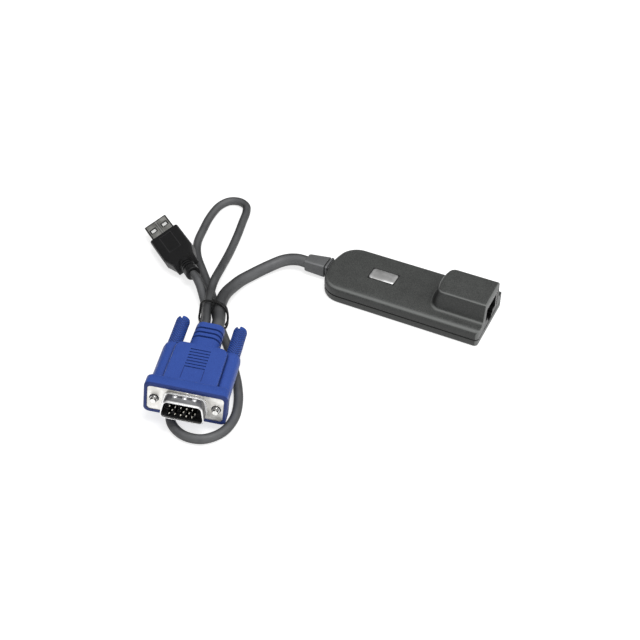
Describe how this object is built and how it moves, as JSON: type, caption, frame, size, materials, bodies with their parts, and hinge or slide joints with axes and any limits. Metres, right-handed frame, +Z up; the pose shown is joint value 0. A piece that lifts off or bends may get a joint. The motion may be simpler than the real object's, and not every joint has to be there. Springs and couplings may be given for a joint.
{
  "type": "kvm console interface adapter",
  "caption": "Small network-port housing on a short cable with a video plug and a thin second cable to a USB plug, held by a wire tie.",
  "frame": {"origin": "middle of the underside of the port housing, on the surface that the whole adapter lies on", "axes": "+X along the housing towards the network port, +Y away from the side where the video plug lies, +Z up"},
  "size_m": [0.1713, 0.1512, 0.0226],
  "materials": {
    "housing_plastic": "fine textured dark grey moulding",
    "cable_jacket": "satin grey flexible jacket",
    "hood_plastic": "blue moulded plastic",
    "usb_plastic": "black moulded grip",
    "tie_wire": "black coated wire",
    "nickel_plate": "bright nickel plate",
    "screw_steel": "plated steel",
    "dark_steel": "black oxide steel",
    "contact_gold": "gold flash",
    "pin_plate": "pale gold flash",
    "black_insulator": "black connector plastic",
    "white_insulator": "white connector plastic",
    "inner_mould_plastic": "milky inner moulding",
    "board_laminate": "green solder mask",
    "chip_epoxy": "black chip packages",
    "capacitor_case": "tantalum orange",
    "wire_insulation": "red wire insulation"
  },
  "bodies": {
    "root": {"top_shell": "housing_plastic", "bottom_shell": "housing_plastic", "housing_screws": "dark_steel", "circuit_board": "board_laminate", "jack_body": "black_insulator", "jack_contacts": "contact_gold", "jack_shield": "nickel_plate", "isolation_transformer": "chip_epoxy", "main_processor": "chip_epoxy", "video_digitizer": "chip_epoxy", "quartz_crystal": "screw_steel", "capacitors": "capacitor_case", "board_connector": "white_insulator", "cable_wires": "wire_insulation", "cable_boot": "cable_jacket", "main_cable": "cable_jacket", "video_hood": "hood_plastic", "video_inner_mould": "inner_mould_plastic", "video_front_shell": "nickel_plate", "video_rear_shell": "nickel_plate", "video_insulator": "black_insulator", "video_pins": "pin_plate", "usb_cable": "cable_jacket", "usb_grip": "usb_plastic", "usb_shell": "nickel_plate", "usb_tongue": "white_insulator", "usb_contacts": "contact_gold", "cable_tie": "tie_wire"},
    "left_carrier": {"left_retaining_clip": "screw_steel"},
    "left_screw": {"left_knob": "hood_plastic", "left_screw_shaft": "screw_steel"},
    "right_carrier": {"right_retaining_clip": "screw_steel"},
    "right_screw": {"right_knob": "hood_plastic", "right_screw_shaft": "screw_steel"}
  },
  "joints": [
    {"name": "left_screw_slide", "type": "slide", "parent": "root", "child": "left_carrier", "axis": [0.3097, -0.9493, 0.0537], "range_m": [0, 0.004]},
    {"name": "left_screw_spin", "type": "hinge", "parent": "left_carrier", "child": "left_screw", "pos_m": [-0.06732, -0.09519, 0.01341], "axis": [0.3097, -0.9493, 0.0537], "continuous": true},
    {"name": "right_screw_slide", "type": "slide", "parent": "root", "child": "right_carrier", "axis": [0.3097, -0.9493, 0.0537], "range_m": [0, 0.004]},
    {"name": "right_screw_spin", "type": "hinge", "parent": "right_carrier", "child": "right_screw", "pos_m": [-0.04367, -0.08764, 0.01045], "axis": [0.3097, -0.9493, 0.0537], "continuous": true}
  ]
}
